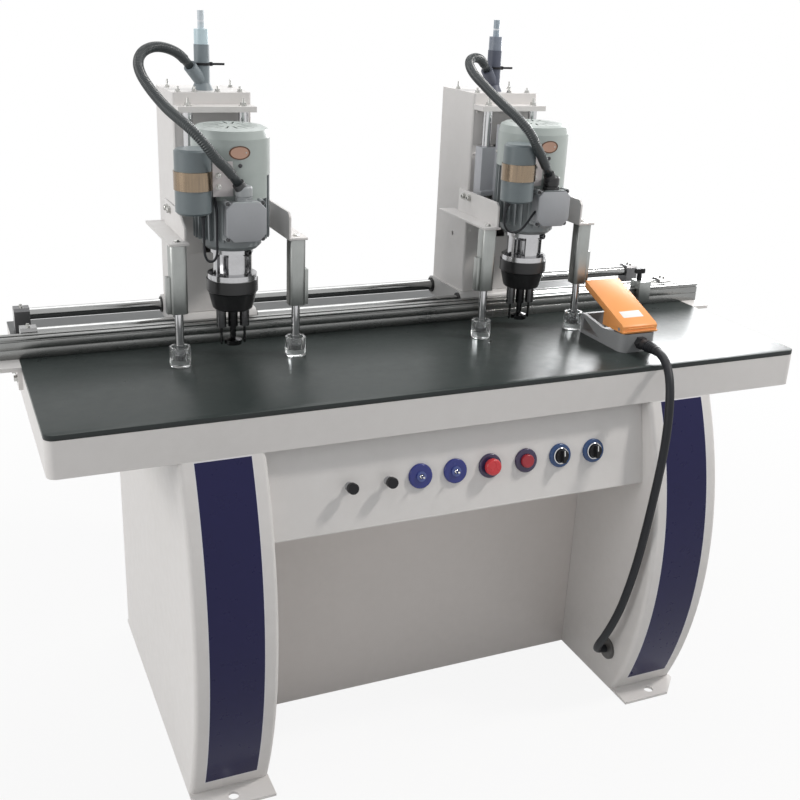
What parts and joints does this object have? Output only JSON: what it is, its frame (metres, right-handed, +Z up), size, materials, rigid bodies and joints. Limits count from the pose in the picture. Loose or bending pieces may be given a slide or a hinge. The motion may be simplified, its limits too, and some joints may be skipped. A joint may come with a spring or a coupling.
{
  "type": "two-head hinge boring machine",
  "caption": "Floor-standing boring machine: a cabinet table with a fence and sliding column heads, each with a motor, hinge cutter, geared bits, hold-down cylinders, and a foot pedal.",
  "frame": {"origin": "on the floor, in the middle of the four floor anchors", "axes": "+Z up, +X to the operator's right along the table, +Y away from the operator"},
  "size_m": [1.69, 0.8173, 1.4635],
  "materials": {
    "cream_paint": "semi-gloss",
    "table_laminate": "satin laminate",
    "bare_aluminium": "anodised",
    "ground_steel": "ground",
    "chrome_rod": "hard chrome",
    "motor_grey": "hammered grey",
    "cover_green": "pale green grey",
    "can_grey": "satin",
    "box_grey": "painted casting",
    "black_case": "black",
    "black_rubber": "dull",
    "switch_blue": "satin",
    "button_red": "gloss",
    "knob_black": "satin",
    "pedal_orange": "satin",
    "pedal_grey": "painted casting"
  },
  "bodies": {
    "base": {"left_leg": "cream_paint", "right_leg": "cream_paint", "cabinet_panels": "cream_paint", "control_panel": "cream_paint", "table_frame": "cream_paint", "table_top": "table_laminate", "fence_rail": "bare_aluminium", "guide_shafts": "ground_steel", "switch_bodies": "switch_blue", "pedal_base": "pedal_grey", "pedal_cable": "black_rubber"},
    "left_valve_knob": {"left_valve_knob": "knob_black"},
    "right_valve_knob": {"right_valve_knob": "knob_black"},
    "left_toggle": {"left_toggle": "chrome_rod"},
    "right_toggle": {"right_toggle": "chrome_rod"},
    "stop_button": {"stop_button": "button_red"},
    "start_button": {"start_button": "button_red"},
    "left_selector": {"left_selector": "knob_black"},
    "right_selector": {"right_selector": "knob_black"},
    "fence_stop": {"fence_stop": "bare_aluminium"},
    "stop_knob": {"stop_knob": "knob_black"},
    "pedal_treadle": {"pedal_treadle": "pedal_orange"},
    "left_head": {"left_carriage": "bare_aluminium", "left_column": "cream_paint", "left_guide_frame": "ground_steel", "left_hose_post": "black_rubber", "left_clamp_brackets": "cream_paint", "left_clamp_cylinders": "bare_aluminium", "left_motor_hose": "black_rubber"},
    "left_ram": {"left_slide": "bare_aluminium", "left_motor_body": "motor_grey", "left_fan_cover": "cover_green", "left_capacitor": "can_grey", "left_terminal_box": "box_grey", "left_adapter": "ground_steel", "left_gearbox": "black_case"},
    "left_centre_spindle": {"left_centre_spindle": "ground_steel"},
    "left_near_spindle": {"left_near_spindle": "ground_steel"},
    "left_far_spindle": {"left_far_spindle": "ground_steel"},
    "left_near_clamp": {"left_near_clamp": "chrome_rod"},
    "left_far_clamp": {"left_far_clamp": "chrome_rod"},
    "right_head": {"right_carriage": "bare_aluminium", "right_column": "cream_paint", "right_guide_frame": "ground_steel", "right_hose_post": "black_rubber", "right_clamp_brackets": "cream_paint", "right_clamp_cylinders": "bare_aluminium", "right_motor_hose": "black_rubber"},
    "right_ram": {"right_slide": "bare_aluminium", "right_motor_body": "motor_grey", "right_fan_cover": "cover_green", "right_capacitor": "can_grey", "right_terminal_box": "box_grey", "right_adapter": "ground_steel", "right_gearbox": "black_case"},
    "right_centre_spindle": {"right_centre_spindle": "ground_steel"},
    "right_near_spindle": {"right_near_spindle": "ground_steel"},
    "right_far_spindle": {"right_far_spindle": "ground_steel"},
    "right_near_clamp": {"right_near_clamp": "chrome_rod"},
    "right_far_clamp": {"right_far_clamp": "chrome_rod"}
  },
  "joints": [
    {"name": "left_valve_push", "type": "slide", "parent": "base", "child": "left_valve_knob", "axis": [0, -0.9763, 0.2164], "range_m": [-0.006, 0]},
    {"name": "right_valve_push", "type": "slide", "parent": "base", "child": "right_valve_knob", "axis": [0, -0.9763, 0.2164], "range_m": [-0.006, 0]},
    {"name": "left_toggle_flip", "type": "hinge", "parent": "base", "child": "left_toggle", "pos_m": [-0.106, -0.32903, 0.63224], "axis": [1, 0, 0], "range_deg": [-12, 12]},
    {"name": "right_toggle_flip", "type": "hinge", "parent": "base", "child": "right_toggle", "pos_m": [-0.03, -0.32903, 0.63224], "axis": [1, 0, 0], "range_deg": [-12, 12]},
    {"name": "stop_button_press", "type": "slide", "parent": "base", "child": "stop_button", "axis": [0, -0.9763, 0.2164], "range_m": [-0.005, 0], "stiffness_N_per_m": 400, "springref_m": 0.005},
    {"name": "start_button_press", "type": "slide", "parent": "base", "child": "start_button", "axis": [0, -0.9763, 0.2164], "range_m": [-0.004, 0], "stiffness_N_per_m": 400, "springref_m": 0.005},
    {"name": "left_selector_turn", "type": "hinge", "parent": "base", "child": "left_selector", "pos_m": [0.212, -0.32317, 0.63094], "axis": [0, -0.9763, 0.2164], "range_deg": [-45, 45]},
    {"name": "right_selector_turn", "type": "hinge", "parent": "base", "child": "right_selector", "pos_m": [0.293, -0.32317, 0.63094], "axis": [0, -0.9763, 0.2164], "range_deg": [-45, 45]},
    {"name": "fence_stop_slide", "type": "slide", "parent": "base", "child": "fence_stop", "axis": [1, 0, 0], "range_m": [-0.05, 0.09]},
    {"name": "stop_knob_turn", "type": "hinge", "parent": "fence_stop", "child": "stop_knob", "pos_m": [0.674, 0.097, 0.86], "axis": [0, 0, 1], "range_deg": [-180, 180]},
    {"name": "pedal_press", "type": "hinge", "parent": "base", "child": "pedal_treadle", "pos_m": [0.444, -0.219, 0.856], "axis": [-1, 0, 0], "range_deg": [0, 6], "stiffness_Nm_per_rad": 3, "springref_deg": -20.05},
    {"name": "left_head_slide", "type": "slide", "parent": "base", "child": "left_head", "axis": [1, 0, 0], "range_m": [-0.25, 0.19]},
    {"name": "left_feed", "type": "slide", "parent": "left_head", "child": "left_ram", "axis": [0, 0, 1], "range_m": [-0.015, 0.045], "deforming": ["left_motor_hose"]},
    {"name": "left_centre_spin", "type": "hinge", "parent": "left_ram", "child": "left_centre_spindle", "pos_m": [-0.39, -0.002, 0.9], "axis": [0, 0, 1], "continuous": true},
    {"name": "left_near_spin", "type": "hinge", "parent": "left_ram", "child": "left_near_spindle", "pos_m": [-0.414, -0.002, 0.9], "axis": [0, 0, 1], "continuous": true},
    {"name": "left_far_spin", "type": "hinge", "parent": "left_ram", "child": "left_far_spindle", "pos_m": [-0.366, -0.002, 0.9], "axis": [0, 0, 1], "continuous": true},
    {"name": "left_near_clamp_lift", "type": "slide", "parent": "left_head", "child": "left_near_clamp", "axis": [0, 0, 1], "range_m": [0, 0.05]},
    {"name": "left_far_clamp_lift", "type": "slide", "parent": "left_head", "child": "left_far_clamp", "axis": [0, 0, 1], "range_m": [0, 0.05]},
    {"name": "right_head_slide", "type": "slide", "parent": "base", "child": "right_head", "axis": [1, 0, 0], "range_m": [-0.19, 0.25]},
    {"name": "right_feed", "type": "slide", "parent": "right_head", "child": "right_ram", "axis": [0, 0, 1], "range_m": [-0.015, 0.045], "deforming": ["right_motor_hose"]},
    {"name": "right_centre_spin", "type": "hinge", "parent": "right_ram", "child": "right_centre_spindle", "pos_m": [0.2765, -0.002, 0.9], "axis": [0, 0, 1], "continuous": true},
    {"name": "right_near_spin", "type": "hinge", "parent": "right_ram", "child": "right_near_spindle", "pos_m": [0.2525, -0.002, 0.9], "axis": [0, 0, 1], "continuous": true},
    {"name": "right_far_spin", "type": "hinge", "parent": "right_ram", "child": "right_far_spindle", "pos_m": [0.3005, -0.002, 0.9], "axis": [0, 0, 1], "continuous": true},
    {"name": "right_near_clamp_lift", "type": "slide", "parent": "right_head", "child": "right_near_clamp", "axis": [0, 0, 1], "range_m": [0, 0.05]},
    {"name": "right_far_clamp_lift", "type": "slide", "parent": "right_head", "child": "right_far_clamp", "axis": [0, 0, 1], "range_m": [0, 0.05]}
  ],
  "couplings": [
    {"joint": "left_near_spin", "follows": "left_centre_spin", "ratio": -1},
    {"joint": "left_far_spin", "follows": "left_centre_spin", "ratio": -1},
    {"joint": "left_far_clamp_lift", "follows": "left_near_clamp_lift", "ratio": 1},
    {"joint": "right_near_spin", "follows": "right_centre_spin", "ratio": -1},
    {"joint": "right_far_spin", "follows": "right_centre_spin", "ratio": -1},
    {"joint": "right_far_clamp_lift", "follows": "right_near_clamp_lift", "ratio": 1}
  ]
}
